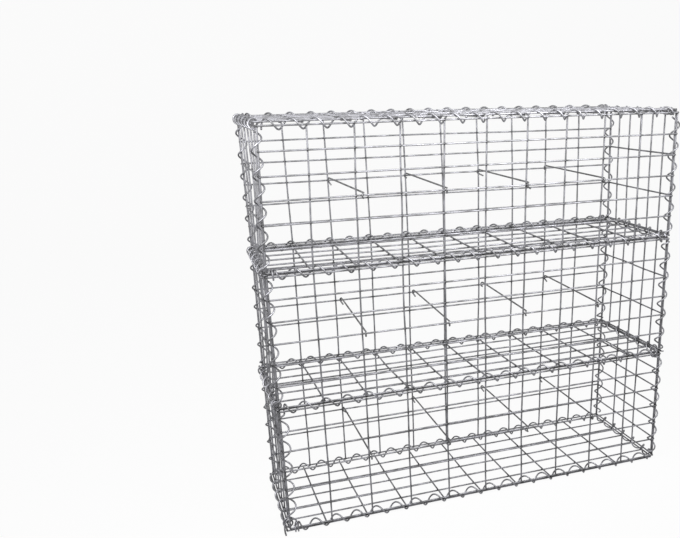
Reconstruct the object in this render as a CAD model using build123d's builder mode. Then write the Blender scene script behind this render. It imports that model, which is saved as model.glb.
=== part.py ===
# Gabion wall: three welded-mesh wire baskets stacked one on another and laced shut with
# helical coils. Millimetres, +Z up, X along the wall, Y through it, front at -Y.
# The origin is under the middle of the wall, on the ground that the lowest coils rest on.

from math import atan2, ceil, cos, floor, hypot, pi, radians, sin, sqrt, tan
import os

from build123d import *

os.makedirs("parts", exist_ok=True)

# ---- driving sizes ----
wall_length = 1000.0  # between the outer uprights of a front or back panel
wall_depth = 300.0  # between the front and the back panel
tier_height = 300.0  # bottom wire to top wire of one basket
tiers = 3
coarse_cell = 100.0  # long side of a mesh cell; the short side is half of it
mesh_wire_d = 4.0
coil_wire_d = 4.0
tie_wire_d = 4.0
coil_bore_wires = 4.5  # inside of a coil, counted in mesh wires laid side by side
shelf_play = 0.5  # between a shelf's long wires and the rails over and under them
floor_drop = 6.5  # bottom wires of the lowest basket to the floor's long wires
lid_rise = 8.0  # top wires of the highest basket to the lid's long wires
depth_wire_shift = 8.0  # depth wires stand this far to the left of the uprights
weld_sink = 0.4  # how deep two crossed wires are pressed into each other
end_overhang = 1.0  # a wire runs this far past the centre of the last wire it crosses
front_tail = 15.0  # bent end of a tie's front hook
back_tail = 21.0  # bent end of its back hook
front_tail_slope = 45.0  # how steeply the front hook's end runs in and down, in degrees
back_tail_slope = 60.0
base_coil_shift = 4.0  # the lowest long coils are wound this far on from the others
corner_lean = 60.0  # way from a corner coil to its corner, in degrees off the wall's length
clearance = 0.3  # between wires that lie against each other
coil_gap = 0.5  # between the ends of coils that meet at a corner

# ---- wire sections: regular polygons with the area of the round wire ----
mesh_sides = 8
coil_sides = 6
steps_per_turn = 12


def corner_radius(wire_d, sides):
    """Radius to the corners of a regular polygon as large in area as a round wire."""
    return wire_d / 2 * sqrt(2 * pi / (sides * sin(2 * pi / sides)))


mesh_corner = corner_radius(mesh_wire_d, mesh_sides)
mesh_half = mesh_corner * cos(pi / mesh_sides)
coil_corner = corner_radius(coil_wire_d, coil_sides)
tie_corner = corner_radius(tie_wire_d, coil_sides)
tie_half = tie_corner * cos(pi / coil_sides)
cross_step = 2 * mesh_half - weld_sink  # centre to centre of two welded wires

# ---- coil sizes ----
coil_outer_d = coil_bore_wires * mesh_wire_d + 2 * coil_wire_d
coil_radius = coil_outer_d / 2 - coil_corner  # to the centre of the coil's wire
coil_inside = coil_radius * cos(pi / steps_per_turn) - coil_corner
seat = coil_inside - mesh_corner - clearance  # coil centre to a wire that it lies on
coil_tip = 2 * coil_corner  # room for the end of a coil's wire past its centre line

# ---- mesh spacing: whole cells along each side ----
length_cells = round(wall_length / coarse_cell)
depth_cells = round(wall_depth / coarse_cell)
height_cells = round(tier_height / coarse_cell)
length_pitch = wall_length / length_cells / 2  # one turn of a coil to half a coarse cell
depth_pitch = wall_depth / depth_cells / 2
height_pitch = tier_height / height_cells / 2

# ---- places of the panels ----
face_y = wall_depth / 2  # horizontal wires of the front and back panels
upright_y = face_y - cross_step  # their uprights, on the inner side
end_upright_x = wall_length / 2  # uprights of the end panels
end_rail_x = end_upright_x + cross_step  # their horizontal wires, on the outer side
end_half = upright_y - 2 * mesh_half - clearance  # outer uprights of the end panels
tray_half = upright_y  # outer long wires of the floor, the shelves and the lid
tray_left_x = -(end_rail_x + 2 * mesh_half + 2 * clearance)
tray_right_x = end_upright_x - 2 * mesh_half - 2 * clearance

# ---- heights above the ground ----
tier_gap = 2 * (mesh_wire_d + shelf_play)  # top wire of a basket to bottom wire of the next
tier_pitch = tier_height + tier_gap


def nest(edge_in, edge_rise):
    """Centre of a coil that holds a panel's rail and a tray's edge wire, on the inner side.
    The sizes run inward and up from the rail."""
    apart = hypot(edge_in, edge_rise)
    out = sqrt(seat**2 - (apart / 2) ** 2)
    side = 1 if edge_rise > 0 else -1
    centre_in = edge_in / 2 + side * out * edge_rise / apart
    centre_rise = edge_rise / 2 - side * out * edge_in / apart
    return centre_in, centre_rise


floor_coil_in, floor_coil_rise = nest(face_y - tray_half, -floor_drop)
lid_coil_in, lid_coil_rise = nest(face_y - tray_half, lid_rise)
shelf_coil_in = sqrt(seat**2 - (tier_gap / 2) ** 2)
first_base = coil_radius + coil_corner - floor_coil_rise


def base_z(tier):
    """Height of a basket's bottom wires."""
    return first_base + tier * tier_pitch


top_z = base_z(tiers - 1) + tier_height
tray_z = [base_z(0) - floor_drop]
tray_z += [base_z(k) - tier_gap / 2 for k in range(1, tiers)]
tray_z += [top_z + lid_rise]
coil_z = [base_z(0) + floor_coil_rise] + tray_z[1:-1] + [top_z + lid_coil_rise]
coil_in = [floor_coil_in] + [shelf_coil_in] * (tiers - 1) + [lid_coil_in]
level_names = ["base"] + [f"joint_{k}" for k in range(1, tiers)] + ["lid"]


def save(part, name):
    """Label a finished piece and write it to its own file."""
    part.label = name
    export_step(part, f"parts/{name}.step", write_pcurves=False)


# ---- welded panels ----
def spaced(first, last, count):
    """Places of the wires that divide a span into a number of equal cells."""
    return [first + (last - first) * k / count for k in range(count + 1)]


def mesh_panel(frame, rails, posts, post_side):
    """Welded panel. Rails run along the frame's x at each y in rails, and posts run along
    its y at each x in posts, on the side of the rails that post_side gives along z."""
    turn = 180 / mesh_sides
    rail_start = posts[0] - end_overhang
    rail_length = posts[-1] - posts[0] + 2 * end_overhang
    post_start = rails[0] - end_overhang
    post_length = rails[-1] - rails[0] + 2 * end_overhang
    rail_ends = Plane(
        origin=frame.from_local_coords((rail_start, 0, 0)),
        x_dir=frame.y_dir,
        z_dir=frame.x_dir,
    )
    post_ends = Plane(
        origin=frame.from_local_coords((0, post_start, 0)),
        x_dir=frame.z_dir,
        z_dir=frame.y_dir,
    )
    with BuildPart() as panel:
        with BuildSketch(rail_ends):
            with Locations(*[(y, 0) for y in rails]):
                RegularPolygon(mesh_corner, mesh_sides, rotation=turn)
        extrude(amount=rail_length)
        with BuildSketch(post_ends):
            with Locations(*[(post_side * cross_step, x) for x in posts]):
                RegularPolygon(mesh_corner, mesh_sides, rotation=turn)
        extrude(amount=post_length)
    return panel.part


def inner(places, edge):
    """Evenly spaced places with the outer two moved in to the edge wires."""
    return [-edge] + places[1:-1] + [edge]


long_uprights = spaced(-wall_length / 2, wall_length / 2, length_cells)
fine_rows = spaced(0, tier_height, 2 * height_cells)
coarse_rows = spaced(0, tier_height, height_cells)
fine_depth = inner(spaced(-face_y, face_y, 2 * depth_cells), end_half)
coarse_depth = inner(spaced(-face_y, face_y, depth_cells), end_half)

for tier in range(tiers):
    front = Plane(origin=(0, -face_y, base_z(tier)), x_dir=(1, 0, 0), z_dir=(0, -1, 0))
    back = Plane(origin=(0, face_y, base_z(tier)), x_dir=(-1, 0, 0), z_dir=(0, 1, 0))
    save(mesh_panel(front, fine_rows, long_uprights, -1), f"front_panel_{tier + 1}")
    save(mesh_panel(back, fine_rows, long_uprights, -1), f"back_panel_{tier + 1}")

    # The lowest right end panel is fitted a quarter turn round from the others.
    left = Plane(origin=(-end_rail_x, 0, base_z(tier)), x_dir=(0, -1, 0), z_dir=(-1, 0, 0))
    right = Plane(origin=(end_rail_x, 0, base_z(tier)), x_dir=(0, 1, 0), z_dir=(1, 0, 0))
    turned = tier == 0
    right_rows = fine_rows if turned else coarse_rows
    right_posts = coarse_depth if turned else fine_depth
    save(mesh_panel(left, coarse_rows, fine_depth, -1), f"left_end_{tier + 1}")
    save(mesh_panel(right, right_rows, right_posts, -1), f"right_end_{tier + 1}")

# ---- trays: the floor, the shelves between baskets, and the lid ----
tray_rows = inner(spaced(-face_y, face_y, 2 * depth_cells), tray_half)
tray_posts = [x - depth_wire_shift for x in long_uprights]
tray_posts = [tray_left_x] + tray_posts[1:-1] + [tray_right_x]
tray_names = ["floor_panel"] + [f"shelf_{k}" for k in range(1, tiers)] + ["lid_panel"]
for level, name in enumerate(tray_names):
    is_lid = level == tiers
    tray = Plane.XY.offset(tray_z[level])
    save(mesh_panel(tray, tray_rows, tray_posts, -1 if is_lid else 1), name)


# ---- helical lacing coils ----
def coil(frame, pitch, phase, start, stop):
    """Right-handed coil about the frame's z axis, from start to stop along it. It crosses
    the frame's x direction at z = phase, and has a flat-sided wire with mitred bends."""
    step = pitch / steps_per_turn
    turn = 2 * pi / steps_per_turn
    steps = range(ceil((start - phase) / step), floor((stop - phase) / step) + 1)
    points = [
        frame.from_local_coords(
            (coil_radius * cos(turn * k), coil_radius * sin(turn * k), phase + step * k)
        )
        for k in steps
    ]
    with BuildPart() as wire:
        with BuildLine() as path:
            Polyline(*points)
        with BuildSketch(Plane(origin=path.line @ 0, z_dir=path.line % 0)):
            RegularPolygon(coil_corner, coil_sides)
        sweep(transition=Transition.RIGHT)
    return wire.part


# Along the front and back edges, from the left end's uprights to the last depth wire.
long_start = -end_upright_x + mesh_half + coil_tip
long_stop = tray_right_x - mesh_half - coil_tip
for level, name in enumerate(level_names):
    phase = -wall_length / 2 + (base_coil_shift if level == 0 else 0)
    for side, face in ((-1, "front"), (1, "back")):
        centre_y = side * (face_y - coil_in[level])
        frame = Plane(origin=(0, centre_y, coil_z[level]), x_dir=(0, 1, 0), z_dir=(1, 0, 0))
        save(coil(frame, length_pitch, phase, long_start, long_stop), f"{face}_coil_{name}")

# Along the two ends, between the front and the back coils.
depth_stop = face_y - shelf_coil_in - coil_outer_d / 2 - coil_tip - coil_gap
for level, name in enumerate(level_names):
    tray_side = -1 if level == tiers else 1
    fall = coil_z[level] - (tray_z[level] + tray_side * cross_step)
    across = sqrt(seat**2 - fall**2)
    with BuildPart() as end_coils:
        for centre_x, quarter in ((tray_left_x + across, 1), (tray_right_x + across, -1)):
            frame = Plane(origin=(centre_x, 0, coil_z[level]), x_dir=(0, 0, 1), z_dir=(0, 1, 0))
            phase = quarter * depth_pitch / 4 - face_y
            add(coil(frame, depth_pitch, phase, -depth_stop, depth_stop))
    save(end_coils.part, f"end_coils_{name}")

# Up the four corners of each basket, between the coils of the levels below and above.
lean = radians(corner_lean)
corner_seat = coil_inside - clearance
corner_x = wall_length / 2 + end_overhang - corner_seat * cos(lean)
corner_y = face_y + mesh_half - corner_seat * sin(lean)
corners = [
    ("front_left", -1, -1),
    ("front_right", 1, -1),
    ("back_right", 1, 1),
    ("back_left", -1, 1),
]
for tier in range(tiers):
    start = coil_z[tier] + coil_outer_d / 2 + coil_tip + coil_gap
    stop = coil_z[tier + 1] - coil_outer_d / 2 - coil_tip - coil_gap
    for name, side_x, side_y in corners:
        frame = Plane(origin=(side_x * corner_x, side_y * corner_y, 0))
        inward = atan2(-side_y, -side_x) / (2 * pi)  # a coil points inward at mid cell
        phase = base_z(tier) + height_pitch / 2 - inward * height_pitch
        save(coil(frame, height_pitch, phase, start, stop), f"{name}_coil_{tier + 1}")

# ---- cross ties: a straight wire hooked over a rail of the front and of the back panel ----
tie_side = mesh_half + clearance + tie_half  # beside the upright
tie_ring = mesh_half + clearance + tie_corner  # round the rail
bevel = tie_ring * tan(pi / 8)
tie_row = fine_rows[height_cells]


def hook(side, tail, slope):
    """Points of a hook from the tip of its tail, round the rail's outer side and over it."""
    run_in = tail * cos(radians(slope))
    drop = tail * sin(radians(slope))
    bends = [
        (face_y + tie_ring - run_in, -bevel - drop),
        (face_y + tie_ring, -bevel),
        (face_y + tie_ring, bevel),
        (face_y + bevel, tie_ring),
    ]
    return [(side * y, z) for y, z in bends]


tie_points = hook(-1, front_tail, front_tail_slope)
tie_points += reversed(hook(1, back_tail, back_tail_slope))
for tier in range(tiers):
    with BuildPart() as ties:
        for upright_x in long_uprights[2:-2:2]:
            row = Plane(
                origin=(upright_x + tie_side, 0, base_z(tier) + tie_row),
                x_dir=(0, 1, 0),
                z_dir=(1, 0, 0),
            )
            with BuildLine(row) as path:
                Polyline(*tie_points)
            with BuildSketch(Plane(origin=path.line @ 0, x_dir=(1, 0, 0), z_dir=path.line % 0)):
                RegularPolygon(tie_corner, coil_sides, rotation=180 / coil_sides)
            sweep(transition=Transition.RIGHT)
    save(ties.part, f"ties_{tier + 1}")
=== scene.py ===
import math

import bpy
import numpy as np
from mathutils import Euler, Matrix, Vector


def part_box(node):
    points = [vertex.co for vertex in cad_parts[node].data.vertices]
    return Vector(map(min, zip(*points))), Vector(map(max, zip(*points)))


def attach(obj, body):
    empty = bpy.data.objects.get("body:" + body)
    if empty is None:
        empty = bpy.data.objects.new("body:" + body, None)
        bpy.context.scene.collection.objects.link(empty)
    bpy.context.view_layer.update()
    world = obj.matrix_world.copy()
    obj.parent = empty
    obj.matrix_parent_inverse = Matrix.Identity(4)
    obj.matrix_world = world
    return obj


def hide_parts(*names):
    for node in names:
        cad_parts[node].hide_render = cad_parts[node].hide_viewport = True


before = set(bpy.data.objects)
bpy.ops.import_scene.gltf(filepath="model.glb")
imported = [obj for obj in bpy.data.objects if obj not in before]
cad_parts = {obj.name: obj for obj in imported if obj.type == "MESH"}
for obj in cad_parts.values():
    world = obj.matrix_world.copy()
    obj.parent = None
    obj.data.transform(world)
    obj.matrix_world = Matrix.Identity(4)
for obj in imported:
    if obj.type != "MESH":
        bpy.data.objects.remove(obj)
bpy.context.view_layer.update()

# ---- Front and back panels ----
# Six flat sheets of welded mesh, three in front and three behind, cut from rolls of round
# galvanised wire. Seven level wires lie outside and eleven uprights are welded behind them.
# Each sheet has a little slack from being rolled, so it bows and its wires wander slightly.

WIRE = 0.0020  # radius
BAR_HALF = 0.00195  # half the width of a CAD wire
CROSSING = 0.0035  # between the centres of two wires that are welded
OVERHANG = 0.001
LONG_CELL = 0.1
SHORT_CELL = 0.05
WALL_LENGTH = 1.0
WALL_DEPTH = 0.3
AROUND = 10  # points round a wire
ASIDE = (0.31, 0.52, 0.79)  # a direction that no wire runs along
CUT_SHARE = 0.74  # of the radius, at a cut end
BEVEL = 0.0005  # length of a cut end's slope
RING_GAP = 0.025  # between rings, away from welds
WELD_REACH = 0.006
BEAD_LIFT = 0.0013
BEAD_SPREAD = 0.0027
STRAY = 0.0012  # most that a wire strays from its line


def wire_skin(path, radius, weld=None):
    """Points, faces, weld marks and places round and along one cut length of wire."""
    path = np.asarray(path, float)
    steps = np.linalg.norm(np.diff(path, axis=0), axis=1)
    along = np.concatenate([[0.0], np.cumsum(steps)])
    ahead = np.gradient(path, along, axis=0)
    ahead /= np.linalg.norm(ahead, axis=1)[:, None]
    side = np.cross(ahead[0], ASIDE)
    turn = np.arange(AROUND) * 2 * math.pi / AROUND
    count = len(path)
    width = np.full(count, radius)
    width[[0, -1]] = radius * CUT_SHARE
    rings = np.empty((count, AROUND, 3))
    for k in range(count):
        side = side - ahead[k] * side.dot(ahead[k])
        side /= np.linalg.norm(side)
        across = np.cross(ahead[k], side)
        rings[k] = path[k] + width[k] * (
            np.cos(turn)[:, None] * side + np.sin(turn)[:, None] * across
        )
    ring = np.arange(AROUND)
    after = (ring + 1) % AROUND
    base = (np.arange(count - 1) * AROUND)[:, None]
    faces = np.stack(
        [base + ring, base + after, base + AROUND + after, base + AROUND + ring], axis=2
    ).reshape(-1, 4)
    last = (count - 1) * AROUND
    ends = [list(range(AROUND - 1, -1, -1)), [last + k for k in range(AROUND)]]
    marks = np.zeros(count) if weld is None else np.asarray(weld, float)
    spots = np.stack(
        [np.tile(np.cos(turn), count), np.tile(np.sin(turn), count), np.repeat(along, AROUND)],
        axis=1,
    )
    return rings.reshape(-1, 3), faces.tolist() + ends, np.repeat(marks, AROUND), spots


def weld_bead(centre, u, v, n):
    """Flattened bead of metal squeezed out where two crossed wires were welded."""
    rows, cols = 5, 8
    points = []
    for i in range(1, rows):
        lift = math.cos(math.pi * i / rows)
        ring = math.sin(math.pi * i / rows)
        for k in range(cols):
            a = 2 * math.pi * (k + 0.5) / cols
            points.append(
                centre
                + n * (BEAD_LIFT * lift)
                + u * (BEAD_SPREAD * ring * math.cos(a))
                + v * (BEAD_SPREAD * ring * math.sin(a))
            )
    points += [centre + n * BEAD_LIFT, centre - n * BEAD_LIFT]
    top, low = (rows - 1) * cols, (rows - 1) * cols + 1
    faces = []
    for k in range(cols):
        m = (k + 1) % cols
        faces.append([top, k, m])
        for i in range(rows - 2):
            a, b = i * cols, (i + 1) * cols
            faces.append([a + k, b + k, b + m, a + m])
        last = (rows - 2) * cols
        faces.append([low, last + m, last + k])
    return np.array(points), faces, np.ones(len(points)), np.zeros((len(points), 3))


LEVEL_HEIGHTS = [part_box(f"front_panel_{tier}")[0].z for tier in (1, 2, 3)]
LEVEL_HEIGHTS.append(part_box("front_panel_3")[1].z)
# How far each upright edge leans at each level, by side: -1 is left or front, 1 right or back.
LEANS = {
    (-1, -1): (0, 0, 0, 0.009),
    (1, -1): (0, 0, 0, 0),
    (-1, 1): (0, 0, 0.003, 0),
    (1, 1): (-0.006, -0.004, 0, -0.006),
}
# How far the top basket's right end sinks, in front and at the back.
SINK = {-1: 0.002, 1: 0.0045}


def out_of_true(points):
    """The stack stands a few millimetres out of square. Each upright edge of it leans along
    x by its own amount at each level, and what is between moves in proportion. The top
    basket also sinks a little towards its right end, more at the back than in front."""
    s = np.clip(points[:, 0] / WALL_LENGTH + 0.5, 0, 1)
    t = np.clip(points[:, 1] / WALL_DEPTH + 0.5, 0, 1)
    raised = np.interp(points[:, 2], LEVEL_HEIGHTS[2:], (0, 1))
    sink = (SINK[-1] * (1 - t) + SINK[1] * t) * np.clip(2 * s - 1, 0, 1) * raised
    shift = np.zeros(len(points))
    for (right, back), leans in LEANS.items():
        share = (s if right > 0 else 1 - s) * (t if back > 0 else 1 - t)
        shift += share * np.interp(points[:, 2], LEVEL_HEIGHTS, leans)
    moved = points.copy()
    moved[:, 0] += shift
    moved[:, 2] -= sink
    return moved


def build_piece(name, skins, material):
    """One mesh object from many lengths of wire, with its weld marks and wire places."""
    points, faces, marks, spots = [], [], [], []
    start = 0
    for skin_points, skin_faces, skin_marks, skin_spots in skins:
        points.append(skin_points)
        faces += [[start + k for k in face] for face in skin_faces]
        marks.append(skin_marks)
        spots.append(skin_spots)
        start += len(skin_points)
    marks, spots = np.concatenate(marks), np.concatenate(spots)
    mesh = bpy.data.meshes.new(name)
    mesh.from_pydata(out_of_true(np.concatenate(points)).tolist(), [], faces)
    mesh.polygons.foreach_set("use_smooth", [len(face) < 5 for face in faces])
    weld = mesh.attributes.new("weld", "FLOAT", "POINT")
    weld.data.foreach_set("value", marks.astype(np.float32))
    wire_place = mesh.attributes.new("wire_place", "FLOAT_VECTOR", "POINT")
    wire_place.data.foreach_set("vector", spots.astype(np.float32).ravel())
    mesh.materials.append(material)
    mesh.update()
    piece = bpy.data.objects.new(name, mesh)
    bpy.context.scene.collection.objects.link(piece)
    return piece


def slack(seed, bow):
    """How far a sheet's surface and its wires stray, for places from 0 to 1 across it.
    The sheet is held true along its edges."""
    dice = np.random.default_rng(seed)
    most_wires = 40
    swell = dice.uniform(0.4, 1.0) * bow
    turns = dice.uniform(0, 2 * math.pi, most_wires)
    drift = dice.uniform(-1, 1, most_wires) * STRAY

    def surface(s, t):
        hold = np.sin(math.pi * s) * np.sin(math.pi * t)
        waves = 0.35 * np.sin(4.4 * s * math.pi + turns[0]) + 0.2 * np.sin(7 * s + turns[1])
        return swell * hold * (1 + waves)

    def stray(k, s):
        hold = np.sin(math.pi * s)
        half_waves = 1.3 + 0.3 * (k % 4)
        return drift[k] * hold * np.sin(half_waves * math.pi * s + turns[k])

    return surface, stray


def stations(places, low, high):
    """Where a wire gets a ring: close together at its cut ends and at each weld."""
    spots = [low, low + BEVEL, high - BEVEL, high]
    for place in places:
        spots += [place - 0.005, place - 0.0025, place, place + 0.0025, place + 0.005]
    inner = sorted(places)
    for a, b in zip(inner, inner[1:]):
        count = round((b - a) / RING_GAP)
        spots += [a + (b - a) * k / count for k in range(1, count)]
    return np.array(sorted({round(s, 6) for s in spots if low <= s <= high}))


def weld_marks(where, places):
    """1 at a weld, falling to 0 a few millimetres from it."""
    gap = np.abs(where[:, None] - np.asarray(places)[None, :]).min(axis=1)
    return np.clip(1 - gap / WELD_REACH, 0, 1)


def mesh_sheet(origin, u, v, n, rails, posts, seed, bow, skew=0.0):
    """Rails along u at each place in rails, posts along v at each place in posts and welded
    to the side of the rails that n points to. The inner posts run skew out of square."""
    surface, stray = slack(seed, bow)
    u, v, n = np.array(u, float), np.array(v, float), np.array(n, float)
    origin = np.array(origin, float)
    low_u, high_u = posts[0], posts[-1]
    low_v, high_v = rails[0], rails[-1]
    posts_from = 12  # number of the first post among the wires that stray

    def share(place, low, high):
        return np.clip((place - low) / (high - low), 0, 1)

    def rail_line(i, s):
        loose = 0 < i < len(rails) - 1
        if not loose:
            return rails[i] + 0 * s
        return rails[i] + stray(i, share(s, low_u, high_u))

    def post_line(j, t):
        loose = 0 < j < len(posts) - 1
        across = share(t, low_v, high_v)
        if not loose:
            return posts[j] + 0 * t
        return posts[j] + (stray(posts_from + j, across) + skew * (across - 0.5))

    def place(s, t, lift):
        s, t = np.broadcast_arrays(s, t)
        out = surface(share(s, low_u, high_u), share(t, low_v, high_v)) + lift
        return origin + s[:, None] * u + t[:, None] * v + out[:, None] * n

    skins = []
    for i in range(len(rails)):
        s = stations(posts, low_u - OVERHANG, high_u + OVERHANG)
        skins.append(wire_skin(place(s, rail_line(i, s), 0), WIRE, weld_marks(s, posts)))
    for j in range(len(posts)):
        t = stations(rails, low_v - OVERHANG, high_v + OVERHANG)
        skins.append(wire_skin(place(post_line(j, t), t, CROSSING), WIRE, weld_marks(t, rails)))
    for i, rail in enumerate(rails):
        for j, post in enumerate(posts):
            s, t = np.array([float(post)]), np.array([float(rail)])
            s, t = post_line(j, t), rail_line(i, s)
            skins.append(weld_bead(place(s, t, CROSSING / 2)[0], u, v, n))
    return skins, place


def noise(tree, coordinates, scale, detail, rough=0.5):
    """Noise texture node on the given coordinates."""
    node = tree.nodes.new("ShaderNodeTexNoise")
    node.inputs["Scale"].default_value = scale
    node.inputs["Detail"].default_value = detail
    node.inputs["Roughness"].default_value = rough
    tree.links.new(coordinates, node.inputs["Vector"])
    return node.outputs["Fac"]


def spread(tree, value, low, high, out_low=0.0, out_high=1.0):
    """Map Range node from low..high to out_low..out_high."""
    node = tree.nodes.new("ShaderNodeMapRange")
    node.inputs["From Min"].default_value = low
    node.inputs["From Max"].default_value = high
    node.inputs["To Min"].default_value = out_low
    node.inputs["To Max"].default_value = out_high
    tree.links.new(value, node.inputs["Value"])
    return node.outputs["Result"]


def mixed(tree, share, first, second):
    """Colour mix node."""
    node = tree.nodes.new("ShaderNodeMix")
    node.data_type = "RGBA"
    factor, colour_a, colour_b, colour_out = 0, 6, 7, 2
    tree.links.new(share, node.inputs[factor])
    tree.links.new(first, node.inputs[colour_a])
    tree.links.new(second, node.inputs[colour_b])
    return node.outputs[colour_out]


def maths(tree, kind, first, second):
    """Math node on two sockets or numbers."""
    node = tree.nodes.new("ShaderNodeMath")
    node.operation = kind
    for value, socket in zip((first, second), node.inputs):
        if isinstance(value, (int, float)):
            socket.default_value = value
        else:
            tree.links.new(value, socket)
    return node.outputs[0]


def plus(tree, value, share, other):
    """The value with a share of another one added to it."""
    return maths(tree, "ADD", value, maths(tree, "MULTIPLY", other, share))


def zinc_coat_group():
    """Hot-dip zinc on drawn wire: cloudy dull and bright patches, fine grain, die marks that
    run along the wire, white bloom, and a darker ring at each weld that is partly weld burn
    and partly painted shade where the crossed wires meet."""
    group = bpy.data.node_groups.new("zinc coat", "ShaderNodeTree")
    face = group.interface
    for name, kind, value in (
        ("Bright", "NodeSocketColor", (0.5, 0.5, 0.54, 1)),
        ("Dull", "NodeSocketColor", (0.3, 0.3, 0.33, 1)),
        ("Burnt and shaded", "NodeSocketColor", (0.1, 0.1, 0.1, 1)),
        ("Bloom", "NodeSocketColor", (0.7, 0.7, 0.72, 1)),
        ("Weld", "NodeSocketFloat", 0.0),
    ):
        face.new_socket(name, in_out="INPUT", socket_type=kind).default_value = value
    face.new_socket("Colour", in_out="OUTPUT", socket_type="NodeSocketColor")
    face.new_socket("Roughness", in_out="OUTPUT", socket_type="NodeSocketFloat")
    face.new_socket("Height", in_out="OUTPUT", socket_type="NodeSocketFloat")
    given = group.nodes.new("NodeGroupInput")
    result = group.nodes.new("NodeGroupOutput")
    place = group.nodes.new("ShaderNodeTexCoord").outputs["Object"]
    wire_place = group.nodes.new("ShaderNodeAttribute")
    wire_place.attribute_name = "wire_place"
    stretch = group.nodes.new("ShaderNodeMapping")
    stretch.inputs["Scale"].default_value = (1.6, 1.6, 30.0)  # long along the wire, narrow round it
    group.links.new(wire_place.outputs["Vector"], stretch.inputs["Vector"])

    cloud_scale, bloom_scale, grain_scale = 42, 170, 900
    clouds = spread(group, noise(group, place, cloud_scale, 3), 0.36, 0.64)
    grain = noise(group, place, grain_scale, 2)
    drawn = noise(group, stretch.outputs["Vector"], 1.0, 3, 0.6)
    bloom = spread(group, noise(group, place, bloom_scale, 3, 0.65), 0.6, 0.78, 0, 0.55)
    cloudy = plus(group, maths(group, "MULTIPLY", clouds, 0.7), 0.3, drawn)
    metal = mixed(group, cloudy, given.outputs["Dull"], given.outputs["Bright"])
    aged = mixed(group, bloom, metal, given.outputs["Bloom"])
    patchy = spread(group, grain, 0.3, 0.6, 0.55, 1.0)
    # Darker ring at each weld: partly weld burn, partly painted shade where the crossed wires meet.
    burn_and_shade = maths(group, "MULTIPLY", given.outputs["Weld"], patchy)
    group.links.new(mixed(group, burn_and_shade, aged, given.outputs["Burnt and shaded"]), result.inputs["Colour"])

    rough = plus(group, spread(group, cloudy, 0.2, 0.8, 0.55, 0.40), 0.25, burn_and_shade)
    rough = plus(group, rough, 0.3, bloom)
    group.links.new(rough, result.inputs["Roughness"])
    height = plus(group, maths(group, "MULTIPLY", grain, 0.5), 0.5, drawn)
    height = plus(group, height, 0.6, burn_and_shade)
    group.links.new(height, result.inputs["Height"])
    return group


zinc_coat = zinc_coat_group()
RELIEF = 0.0003


def galvanised(name, bright, dull, burnt_and_shaded, bloom, metallic, bump):
    """Galvanised wire finish in its own shades."""
    material = bpy.data.materials.new(name)
    material.use_nodes = True
    tree = material.node_tree
    skin = tree.nodes["Principled BSDF"]
    skin.inputs["Metallic"].default_value = metallic
    coat = tree.nodes.new("ShaderNodeGroup")
    coat.node_tree = zinc_coat
    shades = {"Bright": bright, "Dull": dull, "Burnt and shaded": burnt_and_shaded, "Bloom": bloom}
    for socket, shade in shades.items():
        coat.inputs[socket].default_value = (*shade, 1)
    weld = tree.nodes.new("ShaderNodeAttribute")
    weld.attribute_name = "weld"
    tree.links.new(weld.outputs["Fac"], coat.inputs["Weld"])
    relief = tree.nodes.new("ShaderNodeBump")
    relief.inputs["Distance"].default_value = RELIEF
    relief.inputs["Strength"].default_value = bump
    tree.links.new(coat.outputs["Height"], relief.inputs["Height"])
    tree.links.new(coat.outputs["Colour"], skin.inputs["Base Color"])
    tree.links.new(coat.outputs["Roughness"], skin.inputs["Roughness"])
    tree.links.new(relief.outputs["Normal"], skin.inputs["Normal"])
    return material


# The mesh's weld rings are darkened partly as weld burn and partly as painted shade.
mesh_zinc = galvanised(
    "mesh zinc",
    bright=(0.272, 0.272, 0.295),
    dull=(0.085, 0.085, 0.087),
    burnt_and_shaded=(0.045, 0.045, 0.046),
    bloom=(0.39, 0.39, 0.42),
    metallic=0.75,
    bump=0.5,
)


def finish_piece(piece, node):
    """The visual piece stands for its CAD node and moves with the one fixed body."""
    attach(piece, "root")
    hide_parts(node)


def evenly(low, high, cell):
    """Places from low to high, as near to one cell apart as fits."""
    count = round((high - low) / cell)
    return [low + (high - low) * k / count for k in range(count + 1)]


PANEL_BOW = 0.0030
panel_place = {}
for tier in (1, 2, 3):
    for side, face in ((-1, "front"), (1, "back")):
        node = f"{face}_panel_{tier}"
        low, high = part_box(node)
        rail_y = low.y + BAR_HALF if side < 0 else high.y - BAR_HALF
        bottom = low.z + BAR_HALF
        rails = evenly(0.0, high.z - low.z - 2 * BAR_HALF, SHORT_CELL)
        posts = evenly(low.x + OVERHANG, high.x - OVERHANG, LONG_CELL)
        skins, panel_place[node] = mesh_sheet(
            (0, rail_y, bottom), (1, 0, 0), (0, 0, 1), (0, -side, 0),
            rails, posts, 10 * tier + side, PANEL_BOW,
        )
        finish_piece(build_piece(f"{face}_mesh_{tier}", skins, mesh_zinc), node)

# ---- End panels ----
# Short sheets of the same mesh that close each basket's two ends between the front and the
# back panel. The level wires are outside. The lowest right one is fitted a quarter turn
# round, so its closer wires are the level ones.

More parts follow.
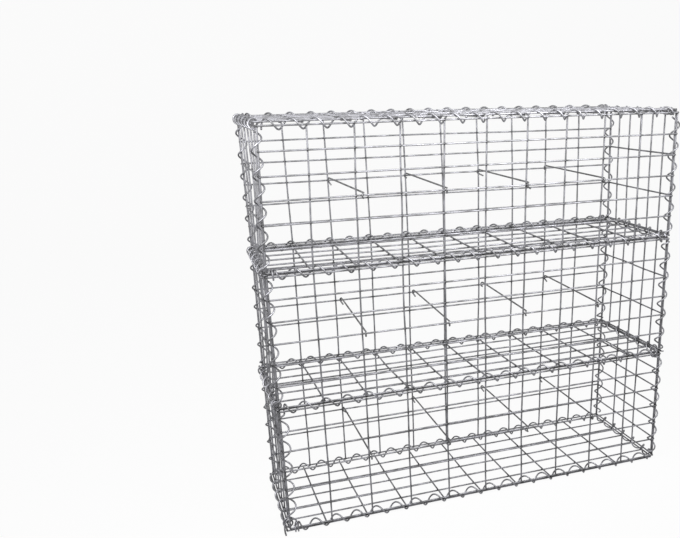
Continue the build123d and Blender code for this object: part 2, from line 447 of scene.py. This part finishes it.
END_BOW = {-1: 0.0050, 1: 0.0015}
CLOSE_POSTS = [-0.1, -0.05, 0.0, 0.05, 0.1]
WIDE_POSTS = [-0.05, 0.05]
for tier in (1, 2, 3):
    for side, face in ((-1, "left"), (1, "right")):
        node = f"{face}_end_{tier}"
        low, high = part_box(node)
        turned = node == "right_end_1"
        rail_x = low.x + BAR_HALF if side < 0 else high.x - BAR_HALF
        bottom = low.z + BAR_HALF
        edge = high.y - BAR_HALF
        rails = evenly(0.0, high.z - low.z - 2 * BAR_HALF, SHORT_CELL if turned else LONG_CELL)
        posts = WIDE_POSTS if turned else CLOSE_POSTS
        skins, _ = mesh_sheet(
            (rail_x, 0, bottom), (0, 1, 0), (0, 0, 1), (-side, 0, 0),
            rails, [-edge, *posts, edge], 100 + 10 * tier + side, END_BOW[side],
        )
        finish_piece(build_piece(f"{face}_end_mesh_{tier}", skins, mesh_zinc), node)

# ---- Floor, shelves and lid ----
# Four flat trays of the same mesh. The floor and the shelves have their cross wires on top
# of the long ones, and the lid has them underneath. They hang a little between their edges.

# How far each tray sags, how far its cross wires stand to the left of the uprights, and how
# far they run out of square.
TRAYS = {
    "floor_panel": dict(sag=0.0020, shift=0.0165, skew=-0.004),
    "shelf_1": dict(sag=0.0032, shift=0.0, skew=-0.009),
    "shelf_2": dict(sag=0.0032, shift=0.006, skew=0.0),
    "lid_panel": dict(sag=0.0036, shift=0.008, skew=0.0),
}
for index, (node, tray) in enumerate(TRAYS.items()):
    low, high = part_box(node)
    is_lid = node == "lid_panel"
    level = high.z - BAR_HALF if is_lid else low.z + BAR_HALF
    facing = -1 if is_lid else 1
    edge = high.y - BAR_HALF
    inner_posts = [place - tray["shift"] for place in evenly(-0.4, 0.4, LONG_CELL)]
    skins, _ = mesh_sheet(
        (0, 0, level), (1, 0, 0), (0, 1, 0), (0, 0, facing),
        [-edge, *evenly(-0.1, 0.1, SHORT_CELL), edge],
        [low.x + OVERHANG, *inner_posts, high.x - OVERHANG],
        200 + index, -facing * tray["sag"], tray["skew"],
    )
    piece = build_piece(node.replace("_panel", "") + "_mesh", skins, mesh_zinc)
    finish_piece(piece, node)

# ---- Long lacing coils ----
# Springs of the same zinc-coated wire, wound through the meshes along the front and back
# edges at all four levels. Their last turns are closed up with pliers so they can't unwind.

PITCH = 0.05
LOCK_PITCH = 0.0065  # where the turns are closed up
LOCK_CLOSING = 0.86  # share of the pitch kept at each step, as the turns close up
STEPS = 28  # in a turn
COIL_PLAY = 0.0003  # kept between the coil and its box
WANDER = 0.0007
TUCK = 0.3  # share of the radius by which a cut end is tucked inwards
TUCK_TURN = 0.3  # share of a turn that it takes
TAIL_STEPS = 12

coil_zinc = galvanised(
    "coil zinc",
    bright=(0.272, 0.272, 0.295),
    dull=(0.085, 0.085, 0.087),
    burnt_and_shaded=(0.045, 0.045, 0.046),
    bloom=(0.41, 0.41, 0.44),
    metallic=0.75,
    bump=0.35,
)


def coil_line(low, high, axis, start, seed, locks):
    """Centre line of a right-handed coil inside a box, along x, y or z, with a turn that
    begins at start. The turns are a little uneven. Those at each end are wound close over
    the lengths in locks, and the two cut ends are tucked inwards."""
    middle = [(a + b) / 2 for a, b in zip(low, high)]
    first, second = {0: (1, 2), 1: (2, 0), 2: (0, 1)}[axis]
    radius = (high[first] - low[first]) / 2 - WIRE - COIL_PLAY
    dice = np.random.default_rng(seed)
    turns, sizes = dice.uniform(0, 2 * math.pi, 4), dice.uniform(0.3, 0.8, 4)

    def angle(t):
        wander = sum(s * math.sin((9 + 7 * k) * t + turns[k]) for k, s in enumerate(sizes))
        return 2 * math.pi * (t - start + WANDER * wander) / PITCH

    ends = [low[axis] + WIRE + locks[0], high[axis] - WIRE - locks[1]]
    count = int((ends[1] - ends[0]) / PITCH * STEPS) + 1
    path = [(t, angle(t)) for t in np.linspace(ends[0], ends[1], count)]
    for edge, way, lock in ((ends[0], -1, locks[0]), (ends[1], 1, locks[1])):
        wound, t, a = [], edge, angle(edge)
        pitch = PITCH
        while (t - edge) * way < lock:
            pitch = max(LOCK_PITCH, pitch * LOCK_CLOSING)
            t += way * pitch / STEPS
            a += way * 2 * math.pi / STEPS
            wound.append((t, a))
        path = wound[::-1] + path if way < 0 else path + wound
    line = []
    for k, (t, a) in enumerate(path):
        from_end = min(k, len(path) - 1 - k)
        tucked = max(0.0, 1 - from_end / (TUCK_TURN * STEPS))
        reach = radius * (1 - TUCK * tucked ** 2)
        point = list(middle)
        point[axis] = t
        point[first] += reach * math.cos(a)
        point[second] += reach * math.sin(a)
        line.append(point)
    return line


def bevelled(line):
    """The line with a short step at each end, for the cut edge of the wire."""
    line = np.asarray(line, float)
    head = line[0] + (line[1] - line[0]) * (BEVEL / np.linalg.norm(line[1] - line[0]))
    tail = line[-1] + (line[-2] - line[-1]) * (BEVEL / np.linalg.norm(line[-2] - line[-1]))
    return np.concatenate([[line[0], head], line[1:-1], [tail, line[-1]]])


def free_end(line, tip, pull):
    """The line with its last wire drawn off in a curve to a tip, as a tail that was left."""
    ahead = np.array(line[-1]) - np.array(line[-2])
    root, tip = np.array(line[-1]), np.array(tip)
    bend = root + ahead / np.linalg.norm(ahead) * pull
    curve = [
        (1 - k) ** 2 * root + 2 * k * (1 - k) * bend + k * k * tip
        for k in np.linspace(0, 1, TAIL_STEPS + 1)
    ]
    return line + [list(point) for point in curve[1:]]


LEVELS = ("base", "joint_1", "joint_2", "lid")
# Where a turn begins along each coil, level by level, and how long its closed ends are where
# that isn't left to chance.
LONG_START = {"front": (0.002, 0.046, 0.046, 0.006), "back": (0.022, 0.014, 0.034, 0.008)}
LONG_LOCKS = {"front_coil_base": (0.021, 0.003), "front_coil_lid": (0.010, 0.004)}
for index, level in enumerate(LEVELS):
    for side, face in ((-1, "front"), (1, "back")):
        node = f"{face}_coil_{level}"
        low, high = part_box(node)
        dice = np.random.default_rng(350 + 10 * index + side)
        locks = LONG_LOCKS.get(node, dice.uniform(0.008, 0.019, 2))
        line = coil_line(low, high, 0, LONG_START[face][index], 300 + 10 * index + side, locks)
        if node == "front_coil_joint_1":
            line = free_end(line, (0.5110, low.y + 0.009, high.z - 0.012), 0.012)
        skins = [wire_skin(bevelled(line), WIRE)]
        piece = build_piece(f"{face}_lacing_{level}", skins, coil_zinc)
        finish_piece(piece, node)

# ---- End lacing coils ----
# Short coils of the same kind along the left and right edges of the trays, front to back.
# The one at the lid's right edge is stretched, so its turns are narrower than the rest.

TIGHTER = Vector((0.003, 0, 0.003))
END_START = {-1: (0.028, 0.042, 0.029, 0.042), 1: (0.046, 0.008, 0.036, 0.021)}
for index, level in enumerate(LEVELS):
    node = f"end_coils_{level}"
    low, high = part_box(node)
    reach = (high.z - low.z) / 2
    skins = []
    for side in (-1, 1):
        near = Vector((low.x if side < 0 else high.x - 2 * reach, low.y, low.z))
        far = Vector((low.x + 2 * reach if side < 0 else high.x, high.y, high.z))
        if side > 0 and level == "lid":
            near, far = near + TIGHTER, far - TIGHTER
        dice = np.random.default_rng(450 + 10 * index + side)
        locks = dice.uniform(0.008, 0.016, 2)
        line = coil_line(near, far, 1, END_START[side][index], 400 + 10 * index + side, locks)
        if side < 0 and level == "base":
            line = free_end(line[::-1], (low.x + 0.0025, low.y - 0.0300, 0.0024), 0.014)
        skins.append(wire_skin(bevelled(line), WIRE))
    finish_piece(build_piece(f"end_lacing_{level}", skins, coil_zinc), node)

# ---- Corner coils ----
# Upright coils that lace the end panels to the front and back panels, one to each corner of
# each basket. Each starts at its own height over the lowest rail.

CORNER_START = {
    "front_left": (0.006, 0.031, 0.028),
    "front_right": (0.030, 0.009, 0.026),
    "back_right": (0.0085, 0.043, 0.0195),
    "back_left": (0.018, 0.033, 0.0455),
}
# How far each hangs to the right of its corner.
CORNER_HANG = {
    "front_left": (0.003, -0.004, -0.006),
    "front_right": (0, 0, 0),
    "back_right": (0.006, 0, 0),
    "back_left": (0, 0, 0),
}
CORNER_REACH = Vector((0, 0, 0.008))
for tier in (1, 2, 3):
    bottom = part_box(f"front_panel_{tier}")[0].z + BAR_HALF
    for index, (corner, starts) in enumerate(CORNER_START.items()):
        node = f"{corner}_coil_{tier}"
        low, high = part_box(node)
        hang = Vector((CORNER_HANG[corner][tier - 1], 0, 0))
        dice = np.random.default_rng(550 + 10 * tier + index)
        line = coil_line(
            low + hang - CORNER_REACH, high + hang + CORNER_REACH, 2, bottom + starts[tier - 1],
            500 + 10 * tier + index, dice.uniform(0.005, 0.012, 2),
        )
        skins = [wire_skin(bevelled(line), WIRE)]
        piece = build_piece(f"{corner}_lacing_{tier}", skins, coil_zinc)
        finish_piece(piece, node)

# ---- Cross ties ----
# Straight lengths of wire that keep the front from bulging away from the back. Each has its
# ends bent over the middle level wire of both panels by hand, with a short tail left hanging.

TIE = 0.0020  # radius
TIE_PITCH = 0.2
TIE_HEIGHT = 0.15  # over the lowest rail
TIE_PLAY = 0.0002
TIE_BEND = 7  # steps round the bend
HOOK_STEPS = 4
RUN_STEPS = 16
CURL_TURN = 20  # degrees a step
CURL_STEP = 0.0012
# The ties get a darker copy of the same zinc finish: painted shade.
tie_zinc_with_painted_shade = galvanised(
    "tie zinc with painted shade",
    bright=(0.16, 0.16, 0.165),
    dull=(0.070, 0.070, 0.072),
    burnt_and_shaded=(0.045, 0.045, 0.046),
    bloom=(0.35, 0.35, 0.36),
    metallic=0.75,
    bump=0.4,
)


def hook_line(ring, slope, tail, curl):
    """Bend over a rail in its own plane, from the run to the tip: a ring round the rail, a
    straight tail that drops at slope degrees, and a curl of so many degrees at its end."""
    line = []
    for k in range(TIE_BEND + 1):
        a = math.pi / 2 + k / TIE_BEND * math.radians(180 - slope)
        line.append((ring * math.cos(a), ring * math.sin(a)))
    across, drop = math.cos(math.radians(slope)), math.sin(math.radians(slope))
    y, z = line[-1]
    for k in range(1, HOOK_STEPS + 1):
        line.append((y + tail * across * k / HOOK_STEPS, z - tail * drop * k / HOOK_STEPS))
    turn = math.radians(slope)
    for _ in range(round(curl / CURL_TURN)):
        turn -= math.radians(CURL_TURN)
        y, z = line[-1]
        line.append((y + CURL_STEP * math.cos(turn), z - CURL_STEP * math.sin(turn)))
    return line


# Four ways an end was bent, each with the degrees that it is swung round to the side.
SHUT = dict(ring=0.0043, slope=80, tail=0.0035, curl=160), 15
OPEN = dict(ring=0.0058, slope=60, tail=0.0015, curl=80), 45
LOOSE = dict(ring=0.0050, slope=45, tail=0.0120, curl=0), 35
FLAT = dict(ring=0.0052, slope=22, tail=0.0150, curl=0), 50
TIE_HOOKS = {
    1: {-1: (SHUT, SHUT, LOOSE, SHUT), 1: (FLAT, LOOSE, LOOSE, LOOSE)},
    2: {-1: (SHUT, SHUT, OPEN, SHUT), 1: (LOOSE, LOOSE, OPEN, LOOSE)},
    3: {-1: (OPEN, SHUT, FLAT, SHUT), 1: (LOOSE, OPEN, FLAT, OPEN)},
}
TIE_SLIDE = {
    1: {-1: (0, 0, 0.011, 0), 1: (0, 0, 0.011, 0)},
    2: {-1: (0.002, 0.003, 0.002, 0), 1: (0.011, 0.009, 0.010, 0.005)},
    3: {-1: (0.010, 0, 0, 0), 1: (0, 0, 0, 0)},
}
for tier in (1, 2, 3):
    node = f"ties_{tier}"
    low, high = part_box(node)
    skins = []
    for number in range(4):
        upright = low.x + TIE + TIE_PLAY + number * TIE_PITCH
        line = []
        for side, face in ((-1, "front"), (1, "back")):
            x = upright + TIE_SLIDE[tier][side][number]
            style, twist = TIE_HOOKS[tier][side][number]
            swing = math.radians(twist)
            place = panel_place[f"{face}_panel_{tier}"]
            middle = place(np.array([x]), np.array([TIE_HEIGHT]), 0)[0]
            bent = [
                (x + y * math.sin(swing), middle[1] - side * y * math.cos(swing), middle[2] + z)
                for y, z in hook_line(**style)
            ]
            if side < 0:
                line = bent[::-1]
                continue
            run = np.array(bent[0]) - np.array(line[-1])
            start = np.array(line[-1])
            line += [tuple(start + run * k / RUN_STEPS) for k in range(1, RUN_STEPS)] + bent
        skins.append(wire_skin(bevelled(line), TIE))
    finish_piece(build_piece(f"cross_ties_{tier}", skins, tie_zinc_with_painted_shade), node)

# ---- Floor and backdrop ----
# A smooth white studio sheet under and behind the wall. It reads white to the eye and in
# the reflections on the metal, and takes only a faint shadow of the wall.

FLOOR_FRONT, FLOOR_BACK = -2.5, 3.2
SHEET_LEFT, SHEET_RIGHT, SHEET_TOP = -4.0, 6.0, 3.0
SWEEP = 1.5  # radius of the bend from floor to backdrop
sheet_mesh = bpy.data.meshes.new("studio_sheet")
profile = [(FLOOR_FRONT, 0.0), (FLOOR_BACK, 0.0)]
for degrees in range(10, 91, 10):
    a = math.radians(degrees)
    profile.append((FLOOR_BACK + SWEEP * math.sin(a), SWEEP - SWEEP * math.cos(a)))
profile.append((FLOOR_BACK + SWEEP, SHEET_TOP))
sheet_points = [(x, y, z) for x in (SHEET_LEFT, SHEET_RIGHT) for y, z in profile]
count = len(profile)
sheet_faces = [[k, count + k, count + k + 1, k + 1] for k in range(count - 1)]
sheet_mesh.from_pydata(sheet_points, [], sheet_faces)
sheet_mesh.polygons.foreach_set("use_smooth", [True] * len(sheet_faces))
GLOW_SHARE = 0.95  # how much of the sheet's look is its own white


def seen_or_mirrored(tree):
    """1 for what is looked at directly, in a reflection or through glass, else 0."""
    rays = tree.nodes.new("ShaderNodeLightPath")
    seen = maths(tree, "MAXIMUM", rays.outputs["Is Camera Ray"], rays.outputs["Is Glossy Ray"])
    return maths(tree, "MAXIMUM", seen, rays.outputs["Is Transmission Ray"])


studio = bpy.data.materials.new("studio white")
studio.use_nodes = True
tree = studio.node_tree
paper = tree.nodes["Principled BSDF"]
paper.inputs["Base Color"].default_value = (0.62, 0.62, 0.62, 1)
paper.inputs["Roughness"].default_value = 0.9
paper.inputs["Specular IOR Level"].default_value = 0.1
glow = tree.nodes.new("ShaderNodeEmission")
glow.inputs["Strength"].default_value = 1.0
blend = tree.nodes.new("ShaderNodeMixShader")
tree.links.new(spread(tree, seen_or_mirrored(tree), 0, 1, 0, GLOW_SHARE), blend.inputs[0])
tree.links.new(paper.outputs[0], blend.inputs[1])
tree.links.new(glow.outputs[0], blend.inputs[2])
tree.links.new(blend.outputs[0], tree.nodes["Material Output"].inputs["Surface"])
sheet_mesh.materials.append(studio)
sheet = bpy.data.objects.new("studio_sheet", sheet_mesh)
bpy.context.scene.collection.objects.link(sheet)

# ---- Light ----
# Two large soft lamps stand in front, half a metre higher than the wall's top, and face
# level over it. The room round them is white to look at and adds only a little light.

ROOM_LIGHT = 0.06  # how brightly the room lights what stands in it
world = bpy.data.worlds.new("studio room")
bpy.context.scene.world = world
world.use_nodes = True
room = world.node_tree
background = room.nodes["Background"]
background.inputs["Color"].default_value = (1, 1, 1, 1)
room_glow = spread(room, seen_or_mirrored(room), 0, 1, ROOM_LIGHT, 1)
room.links.new(room_glow, background.inputs["Strength"])
for name, spot, target, size, power in (
    ("left lamp", (-0.95, -0.8, 1.45), (-0.3, 0, 1.40), 0.9, 39),
    ("right lamp", (0.4, -0.85, 1.5), (0.15, 0, 1.45), 0.9, 36),
):
    lamp = bpy.data.lights.new(name, "AREA")
    lamp.shape = "DISK"
    lamp.size = size
    lamp.energy = power
    holder = bpy.data.objects.new(name, lamp)
    holder.location = spot
    aim = Vector(target) - Vector(spot)
    holder.rotation_euler = aim.to_track_quat("-Z", "Y").to_euler()
    bpy.context.scene.collection.objects.link(holder)

# ---- Camera ----
# Stands in front, a little past the wall's left end and just above its top, and looks across
# it to the right and down.

lens = bpy.data.cameras.new("camera")
lens.lens = 40.59
lens.sensor_width = 36.0
lens.shift_x = -0.1677
lens.shift_y = 0.1029
camera = bpy.data.objects.new("camera", lens)
camera.location = (-0.6709, -1.7624, 1.0161)
camera.rotation_euler = Euler([math.radians(a) for a in (71.214, 0.855, -20.344)])
bpy.context.scene.collection.objects.link(camera)
bpy.context.scene.camera = camera
bpy.context.scene.view_settings.view_transform = "Standard"
